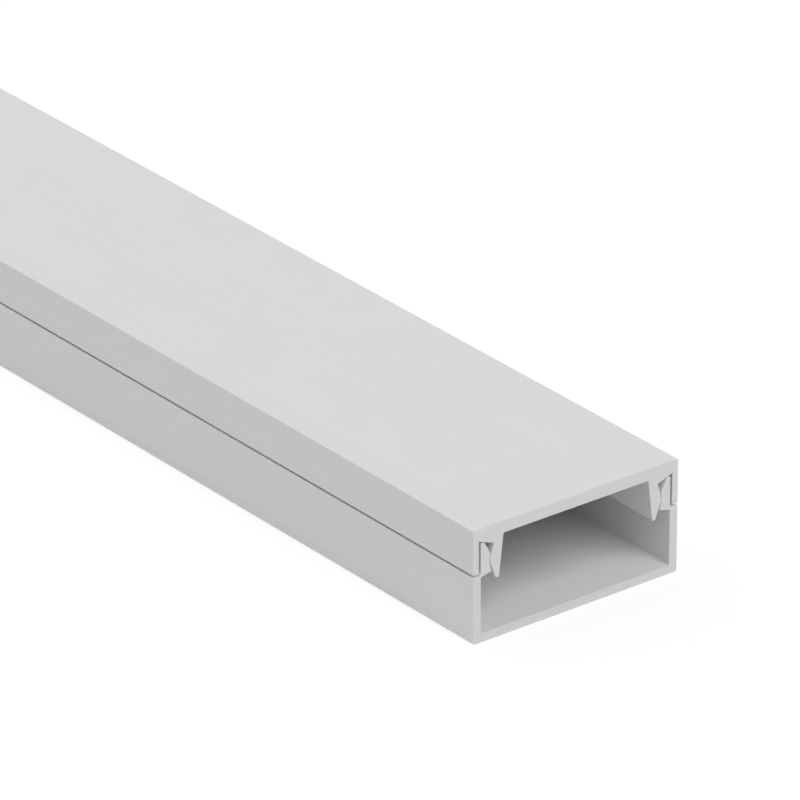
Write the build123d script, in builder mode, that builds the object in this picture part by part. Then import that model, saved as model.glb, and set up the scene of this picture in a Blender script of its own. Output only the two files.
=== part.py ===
from build123d import *
import os

# Cable trunking in white PVC-U: a U-shaped base and a clip-on lid, both extruded, in one stock length.
# X runs along the trunking, Y across it and Z up from the wall side. The origin is in the middle of
# the flat back. Sizes are in millimetres. Each section is drawn as its +Y half and then mirrored.
# Heights are set from the top down, so a deeper trunking keeps its lid and lock and has taller walls.

# Overall sizes
length = 2000.0
width = 40.0
height = 19.3

# Clearances between the lid and the base
seam_gap = 0.4
skirt_clearance = 0.4
crown_clearance = 0.04
barb_clearance = 0.05
leg_root_clearance = 0.65

# Lid: the cover, with a skirt down each side
lid_top = 2.0
lid_edge_radius = 0.2
skirt_depth = 7.55
skirt_thickness = 1.1
skirt_edge_radius = 0.1

# Pocket of the lid: the groove between skirt and leg, with a ceiling that slopes down to the leg
pocket_depth = 0.1
pocket_slope_drop = 1.05

# Leg of the lid: barbed on its outer side, leaning outwards to a narrow tip
leg_root_thickness = 1.85
leg_root_radius = 0.3
leg_barb_radius = 0.5
leg_tip_drop = 3.2
leg_tip_lean = 0.85
leg_tip_thickness = 0.6
leg_tip_radius = 0.25

# Base: floor and walls, with a shoulder under each skirt
base_floor = 1.5
base_wall = 1.5
base_edge_radius = 0.5
base_inner_radius = 0.2
shoulder_edge_radius = 0.1

# Lip of the base: the inward hook along the top of each wall, with crown, nose, seat and heel
lip_outer_edge_radius = 0.3
lip_root_radius = 0.6
lip_crown_width = 0.65
lip_crown_radius = 0.35
lip_nose_reach = 1.85
lip_nose_drop = 2.2
lip_nose_radius = 0.4
lip_seat_depth = 0.24
lip_seat_drop = 1.2
lip_seat_radius = 0.8
lip_heel_reach = 2.05
lip_heel_drop = 1.85
lip_heel_radius = 0.12
lip_foot_drop = 0.33

# Places of the lid's skirt and the base's wall
side = width / 2
lid_underside = height - lid_top
skirt_inner = side - skirt_thickness
skirt_bottom = height - skirt_depth
shoulder = skirt_bottom - seam_gap
wall_inner = side - base_wall

# Places across the lock: lip, then leg
lip_outer = skirt_inner - skirt_clearance
lip_crown_inner = lip_outer - lip_crown_width
lip_nose = lip_outer - lip_nose_reach
lip_seat = lip_nose + lip_seat_depth
lip_heel = lip_outer - lip_heel_reach
leg_root_outer = lip_nose - leg_root_clearance
leg_root_inner = leg_root_outer - leg_root_thickness
leg_barb = lip_seat - barb_clearance
leg_tip_inner = leg_root_inner + leg_tip_lean
leg_tip_outer = leg_tip_inner + leg_tip_thickness

# Heights in the lock: the lip reaches up to the pocket's ceiling, and the barb sits in the lip's seat
pocket_ceiling = lid_underside - pocket_depth
pocket_slope = pocket_slope_drop / (skirt_inner - leg_root_outer)
lip_top = pocket_ceiling - pocket_slope * (skirt_inner - lip_crown_inner) - crown_clearance
lip_nose_height = lip_top - lip_nose_drop
lip_seat_height = lip_nose_height - lip_seat_drop
lip_heel_height = lip_seat_height - lip_heel_drop
lip_foot_height = shoulder - lip_foot_drop
leg_tip_height = lip_seat_height - leg_tip_drop


def corner_at(section, across, up):
    """The section's corner at a place across and up from the middle of the back."""
    return section.vertices().sort_by_distance((across, up))[0]


# The base's section: floor, wall, shoulder and lip
with BuildPart() as base:
    with BuildSketch(Plane.YZ) as base_section:
        with BuildLine():
            Polyline(
                (0, base_floor),
                (0, 0),
                (side, 0),
                (side, shoulder),
                (lip_outer, shoulder),
                (lip_outer, lip_top),
                (lip_crown_inner, lip_top),
                (lip_nose, lip_nose_height),
                (lip_seat, lip_seat_height),
                (lip_heel, lip_heel_height),
                (wall_inner, lip_foot_height),
                (wall_inner, base_floor),
                close=True,
            )
        make_face()
        for across, up, radius in (
            (side, 0, base_edge_radius),
            (side, shoulder, shoulder_edge_radius),
            (lip_outer, shoulder, lip_root_radius),
            (lip_outer, lip_top, lip_outer_edge_radius),
            (lip_crown_inner, lip_top, lip_crown_radius),
            (lip_nose, lip_nose_height, lip_nose_radius),
            (lip_seat, lip_seat_height, lip_seat_radius),
            (lip_heel, lip_heel_height, lip_heel_radius),
            (wall_inner, base_floor, base_inner_radius),
        ):
            fillet(corner_at(base_section, across, up), radius)
        mirror(about=Plane.YZ)
    extrude(amount=length / 2, both=True)

# The lid's section: top, skirt, sloped pocket ceiling and barbed leg
with BuildPart() as lid:
    with BuildSketch(Plane.YZ) as lid_section:
        with BuildLine():
            Polyline(
                (0, lid_underside),
                (0, height),
                (side, height),
                (side, skirt_bottom),
                (skirt_inner, skirt_bottom),
                (skirt_inner, pocket_ceiling),
                (leg_root_outer, pocket_ceiling - pocket_slope_drop),
                (leg_barb, lip_seat_height),
                (leg_tip_outer, leg_tip_height),
                (leg_tip_inner, leg_tip_height),
                (leg_root_inner, lid_underside),
                close=True,
            )
        make_face()
        for across, up, radius in (
            (side, height, lid_edge_radius),
            (side, skirt_bottom, skirt_edge_radius),
            (leg_barb, lip_seat_height, leg_barb_radius),
            (leg_tip_outer, leg_tip_height, leg_tip_radius),
            (leg_tip_inner, leg_tip_height, leg_tip_radius),
            (leg_root_inner, lid_underside, leg_root_radius),
        ):
            fillet(corner_at(lid_section, across, up), radius)
        mirror(about=Plane.YZ)
    extrude(amount=length / 2, both=True)

base.part.label = "trunking_base"
lid.part.label = "trunking_lid"

os.makedirs("parts", exist_ok=True)
export_step(base.part, "parts/trunking_base.step")
export_step(lid.part, "parts/trunking_lid.step")
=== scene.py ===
import math

import bmesh
import bpy
from mathutils import Matrix, Vector


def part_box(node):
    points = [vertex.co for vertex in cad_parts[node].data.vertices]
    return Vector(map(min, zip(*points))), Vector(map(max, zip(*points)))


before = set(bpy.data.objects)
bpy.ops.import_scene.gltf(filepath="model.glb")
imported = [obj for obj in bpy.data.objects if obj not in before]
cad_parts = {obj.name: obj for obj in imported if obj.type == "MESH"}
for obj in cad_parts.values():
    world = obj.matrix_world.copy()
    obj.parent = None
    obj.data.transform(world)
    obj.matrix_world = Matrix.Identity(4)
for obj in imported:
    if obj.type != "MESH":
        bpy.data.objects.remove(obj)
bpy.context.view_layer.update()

MM = 0.001

# Camera: a long lens above the cut end, its place given in widths of the trunking from that end
VIEW_AZIMUTH = math.radians(52.0088)
VIEW_ELEVATION = math.radians(25.9705)
VIEW_RIGHT = -0.668633
VIEW_UP = 0.792293
VIEW_BACK = 30.46084
LENS_MM = 359.60
SENSOR_MM = 36.0
CLIP_START = 0.01
CLIP_END = 500.0

# Floor: it runs far past the object, just under it, and looks white apart from the object's shadow
FLOOR_HALF = 100.0
FLOOR_DROP = 0.05 * MM
FLOOR_TONE = 0.875
FLOOR_WHITE = 1.10
FLOOR_WHITE_SHARE = 0.70

# Studio: a soft sky all round, white where it is seen, and broad lamps, each as name, azimuth from +X,
# elevation, spread and strength
SKY_STRENGTH = 0.30
SKY_WHITE = 1.0
WHITE = (1.0, 1.0, 1.0, 1.0)
LAMPS = (
    ("key", -3, 47, 45, 1.92),
    ("fill", -150, 45, 80, 0.77),
)

# White rigid PVC: the lowest and highest tone and roughness, extruded and on the rougher sawn ends, whose
# tones are set darker as painted shade on the end faces
PVC_TONES = (0.692, 0.728)
PVC_ROUGHNESS = (0.40, 0.52)
SAWN_TONES_PAINTED_SHADE = (0.597, 0.635)
SAWN_ROUGHNESS = (0.62, 0.74)

# Noise: its grains to a unit, its detail and roughness in streaks and in clouds, and the range of its
# values that is spread over 0 to 1
NOISE_SCALE = 1.0
STREAK_NOISE = (2.0, 0.6)
CLOUD_NOISE = (3.0, 0.5)
NOISE_RANGE = (0.25, 0.75)

# Lines that the die leaves along the trunking, fine and broad: how far apart and how long they are,
# the share of the broad ones in the tone, and how deep the fine ones are
FINE_LINE_PITCH = 0.35 * MM
FINE_LINE_RUN = 400.0 * MM
BROAD_LINE_PITCH = 5.0 * MM
BROAD_LINE_RUN = 1500.0 * MM
BROAD_LINE_SHARE = 0.4
LINE_DEPTH = 0.008 * MM

# Soft clouds in the plastic's tone
CLOUD_SIZE = 14.0 * MM
CLOUD_SHARE = 0.3

# Sawn ends: how near to an end a surface counts as sawn, the centre of the round blade, and the arcs
# that it leaves
SAWN_DEPTH = 0.02 * MM
BLADE_CENTRE = (0.0, 35.0 * MM, -150.0 * MM)
SAW_MARK_PITCH = 0.45 * MM
SAW_MARK_RUN = 25.0 * MM
SAW_MARK_DEPTH = 0.010 * MM


def trunking_width():
    """The width over the lid's skirts, in metres."""
    low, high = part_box("trunking_lid")
    return high.y - low.y


def trunking_end():
    """The X of the cut end that the camera sees, in metres, which is half the length."""
    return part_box("trunking_lid")[1].x


def add_object(name, data):
    """A new object in the scene; returns it."""
    thing = bpy.data.objects.new(name, data)
    bpy.context.scene.collection.objects.link(thing)
    return thing


def place_camera():
    """The camera that looks down on the cut end at +X, framed as the photograph."""
    sin_a, cos_a = math.sin(VIEW_AZIMUTH), math.cos(VIEW_AZIMUTH)
    sin_e, cos_e = math.sin(VIEW_ELEVATION), math.cos(VIEW_ELEVATION)
    right = Vector((cos_a, sin_a, 0.0))
    back = Vector((sin_a * cos_e, -cos_a * cos_e, sin_e))
    up = back.cross(right)
    end = Vector((trunking_end(), 0.0, 0.0))
    place = end + trunking_width() * (VIEW_RIGHT * right + VIEW_UP * up + VIEW_BACK * back)
    data = bpy.data.cameras.new("camera")
    data.lens = LENS_MM
    data.sensor_width = SENSOR_MM
    data.clip_start = CLIP_START
    data.clip_end = CLIP_END
    camera = add_object("camera", data)
    camera.matrix_world = Matrix.Translation(place) @ Matrix((right, up, back)).transposed().to_4x4()
    bpy.context.scene.camera = camera


def place_lamps():
    """The broad lamps, each far off in its own direction."""
    for name, azimuth, elevation, spread, strength in LAMPS:
        data = bpy.data.lights.new(name, "SUN")
        data.energy = strength
        data.angle = math.radians(spread)
        turn, rise = math.radians(azimuth), math.radians(elevation)
        towards = Vector((math.cos(turn) * math.cos(rise), math.sin(turn) * math.cos(rise), math.sin(rise)))
        lamp = add_object(name, data)
        lamp.matrix_world = towards.to_track_quat("Z", "Y").to_matrix().to_4x4()


def grey(tone):
    """A neutral colour of one tone."""
    return (tone, tone, tone, 1.0)


def feed(tree, socket, value):
    """Gives a node's input a plain value, or links it to an output."""
    if isinstance(value, bpy.types.NodeSocket):
        tree.links.new(value, socket)
    else:
        socket.default_value = value


def feed_named(tree, node, **given):
    """Feeds a node's inputs by name, an underscore standing for a space; returns its outputs."""
    for label, value in given.items():
        feed(tree, node.inputs[label.replace("_", " ")], value)
    return node.outputs


def add_node(tree, kind, *values, **settings):
    """A node with its settings, its inputs in use fed in order; returns its first output in use."""
    node = tree.nodes.new(kind)
    for name, setting in settings.items():
        setattr(node, name, setting)
    in_use = [socket for socket in node.inputs if socket.enabled]
    for socket, value in zip(in_use, values):
        feed(tree, socket, value)
    return next(socket for socket in node.outputs if socket.enabled)


def calculate(tree, operation, *values):
    """The result of a Math node on numbers or outputs."""
    return add_node(tree, "ShaderNodeMath", *values, operation=operation)


def calculate_vector(tree, operation, *values):
    """The result of a Vector Math node on outputs."""
    return add_node(tree, "ShaderNodeVectorMath", *values, operation=operation)


def join_axes(tree, x, y, z):
    """A vector made of three numbers."""
    return add_node(tree, "ShaderNodeCombineXYZ", x, y, z)


def split_axes(tree, vector):
    """The three numbers of a vector, as outputs X, Y and Z."""
    return feed_named(tree, tree.nodes.new("ShaderNodeSeparateXYZ"), Vector=vector)


def blend_numbers(tree, share, first, second):
    """A number that goes from first to second with share."""
    return add_node(tree, "ShaderNodeMix", share, first, second, data_type="FLOAT")


def blend_colours(tree, share, first, second):
    """A colour that goes from first to second with share."""
    return add_node(tree, "ShaderNodeMix", share, first, second, data_type="RGBA")


def blend_shaders(tree, share, first, second):
    """A shader that goes from first to second with share."""
    return add_node(tree, "ShaderNodeMixShader", share, first, second)


def scale_place(tree, place, x, y, z):
    """A place scaled by its own number along each axis."""
    return calculate_vector(tree, "MULTIPLY", place, join_axes(tree, x, y, z))


def noise(tree, place, detail, roughness):
    """Noise of a place, spread over 0 to 1."""
    grain = add_node(tree, "ShaderNodeTexNoise", place, NOISE_SCALE, detail, roughness)
    return add_node(tree, "ShaderNodeMapRange", grain, *NOISE_RANGE)


def relief(tree, height):
    """The normal of a surface with a height in metres."""
    return feed_named(tree, tree.nodes.new("ShaderNodeBump"), Distance=1.0, Height=height)["Normal"]


def new_group(name, inputs, outputs):
    """An empty shader node group, whose outputs are numbers; returns it with its inner ends."""
    group = bpy.data.node_groups.new(name, "ShaderNodeTree")
    for label, kind in inputs.items():
        group.interface.new_socket(label, in_out="INPUT", socket_type=f"NodeSocket{kind}")
    for label in outputs:
        group.interface.new_socket(label, in_out="OUTPUT", socket_type="NodeSocketFloat")
    return group, group.nodes.new("NodeGroupInput").outputs, group.nodes.new("NodeGroupOutput").inputs


def place_group(tree, group, **given):
    """A node of a group with its inputs given by name; returns its outputs."""
    node = tree.nodes.new("ShaderNodeGroup")
    node.node_tree = group
    return feed_named(tree, node, **given)


def make_die_lines():
    """Lines along X, as a die leaves them: a pitch across, and a run over which they change."""
    inputs = {"Place": "Vector", "Pitch": "Float", "Run": "Float"}
    group, given, result = new_group("die_lines", inputs, ("Height",))
    along = calculate(group, "DIVIDE", 1.0, given["Run"])
    across = calculate(group, "DIVIDE", 1.0, given["Pitch"])
    place = scale_place(group, given["Place"], along, across, across)
    feed(group, result["Height"], noise(group, place, *STREAK_NOISE))
    return group


def make_clouds():
    """Soft clouds of one size in a plastic's tone."""
    inputs = {"Place": "Vector", "Size": "Float"}
    group, given, result = new_group("plastic_clouds", inputs, ("Tone",))
    scale = calculate(group, "DIVIDE", 1.0, given["Size"])
    place = scale_place(group, given["Place"], scale, scale, scale)
    feed(group, result["Tone"], noise(group, place, *CLOUD_NOISE))
    return group


def make_saw_marks():
    """The sawn ends, as a mask, and the arcs that a round saw leaves there about its centre."""
    inputs = {
        "Place": "Vector",
        "Half Length": "Float",
        "Depth": "Float",
        "Blade Centre": "Vector",
        "Pitch": "Float",
        "Run": "Float",
    }
    group, given, result = new_group("saw_marks", inputs, ("Mask", "Height"))
    end = split_axes(group, given["Place"])["X"]
    edge = calculate(group, "SUBTRACT", given["Half Length"], given["Depth"])
    feed(group, result["Mask"], calculate(group, "GREATER_THAN", calculate(group, "ABSOLUTE", end), edge))
    spoke = split_axes(group, calculate_vector(group, "SUBTRACT", given["Place"], given["Blade Centre"]))
    radius = calculate_vector(group, "LENGTH", join_axes(group, 0.0, spoke["Y"], spoke["Z"]))
    arc = calculate(group, "MULTIPLY", calculate(group, "ARCTAN2", spoke["Y"], spoke["Z"]), radius)
    across = calculate(group, "DIVIDE", radius, given["Pitch"])
    along = calculate(group, "DIVIDE", arc, given["Run"])
    feed(group, result["Height"], noise(group, join_axes(group, across, along, end), *STREAK_NOISE))
    return group


def white_pvc(name, die_lines, clouds, saw_marks):
    """Satin white PVC-U with faint lines along the extrusion, and rough, finely marked sawn ends whose
    colour is darkened with painted shade.
    """
    material = bpy.data.materials.new(name)
    material.use_nodes = True
    tree = material.node_tree
    place = tree.nodes.new("ShaderNodeTexCoord").outputs["Object"]
    fine = place_group(tree, die_lines, Place=place, Pitch=FINE_LINE_PITCH, Run=FINE_LINE_RUN)["Height"]
    broad = place_group(tree, die_lines, Place=place, Pitch=BROAD_LINE_PITCH, Run=BROAD_LINE_RUN)["Height"]
    cloud = place_group(tree, clouds, Place=place, Size=CLOUD_SIZE)["Tone"]
    sawn = place_group(
        tree,
        saw_marks,
        Place=place,
        Half_Length=trunking_end(),
        Depth=SAWN_DEPTH,
        Blade_Centre=BLADE_CENTRE,
        Pitch=SAW_MARK_PITCH,
        Run=SAW_MARK_RUN,
    )
    tone = blend_numbers(tree, CLOUD_SHARE, blend_numbers(tree, BROAD_LINE_SHARE, fine, broad), cloud)
    extruded_colour = blend_colours(tree, tone, *map(grey, PVC_TONES))
    # Sawn ends: the saw marks' own tone, set darker overall as painted shade on the end faces
    sawn_colour_painted_shade = blend_colours(tree, sawn["Height"], *map(grey, SAWN_TONES_PAINTED_SHADE))
    extruded_roughness = blend_numbers(tree, tone, *PVC_ROUGHNESS)
    sawn_roughness = blend_numbers(tree, sawn["Height"], *SAWN_ROUGHNESS)
    extruded_height = calculate(tree, "MULTIPLY", fine, LINE_DEPTH)
    sawn_height = calculate(tree, "MULTIPLY", sawn["Height"], SAW_MARK_DEPTH)
    feed_named(
        tree,
        tree.nodes["Principled BSDF"],
        Base_Color=blend_colours(tree, sawn["Mask"], extruded_colour, sawn_colour_painted_shade),
        Roughness=blend_numbers(tree, sawn["Mask"], extruded_roughness, sawn_roughness),
        Normal=relief(tree, blend_numbers(tree, sawn["Mask"], extruded_height, sawn_height)),
    )
    return material


def dress(node, material):
    """Gives a CAD node its finish."""
    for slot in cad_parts[node].material_slots:
        slot.material = material


def floor_paper():
    """Pale paper that the camera sees partly as plain white, so that a shadow on it is faint."""
    material = bpy.data.materials.new("floor_paper")
    material.use_nodes = True
    tree = material.node_tree
    tree.nodes.clear()
    ray = tree.nodes.new("ShaderNodeLightPath").outputs
    share = calculate(tree, "MULTIPLY", ray["Is Camera Ray"], FLOOR_WHITE_SHARE)
    paper = add_node(tree, "ShaderNodeBsdfDiffuse", grey(FLOOR_TONE))
    white = add_node(tree, "ShaderNodeEmission", WHITE, FLOOR_WHITE)
    output = tree.nodes.new("ShaderNodeOutputMaterial")
    feed_named(tree, output, Surface=blend_shaders(tree, share, paper, white))
    return material


def make_floor():
    """The plain floor under the object."""
    mesh = bpy.data.meshes.new("floor")
    shape = bmesh.new()
    bmesh.ops.create_grid(shape, x_segments=1, y_segments=1, size=FLOOR_HALF)
    bmesh.ops.translate(shape, verts=shape.verts, vec=(0.0, 0.0, -FLOOR_DROP))
    shape.to_mesh(mesh)
    shape.free()
    mesh.materials.append(floor_paper())
    add_object("floor", mesh)


def light_sky():
    """A soft sky all round, which is white to the camera, in reflections and through clear matter."""
    world = bpy.data.worlds.new("studio")
    world.use_nodes = True
    bpy.context.scene.world = world
    tree = world.node_tree
    tree.nodes.clear()
    ray = tree.nodes.new("ShaderNodeLightPath").outputs
    direct = calculate(tree, "MAXIMUM", ray["Is Camera Ray"], ray["Is Glossy Ray"])
    seen = calculate(tree, "MAXIMUM", direct, ray["Is Transmission Ray"])
    soft = add_node(tree, "ShaderNodeBackground", WHITE, SKY_STRENGTH)
    white = add_node(tree, "ShaderNodeBackground", WHITE, SKY_WHITE)
    output = tree.nodes.new("ShaderNodeOutputWorld")
    feed_named(tree, output, Surface=blend_shaders(tree, seen, soft, white))


place_camera()
place_lamps()
light_sky()
make_floor()
bpy.context.scene.view_settings.view_transform = "Standard"

effects = make_die_lines(), make_clouds(), make_saw_marks()
dress("trunking_base", white_pvc("base_plastic", *effects))
dress("trunking_lid", white_pvc("lid_plastic", *effects))
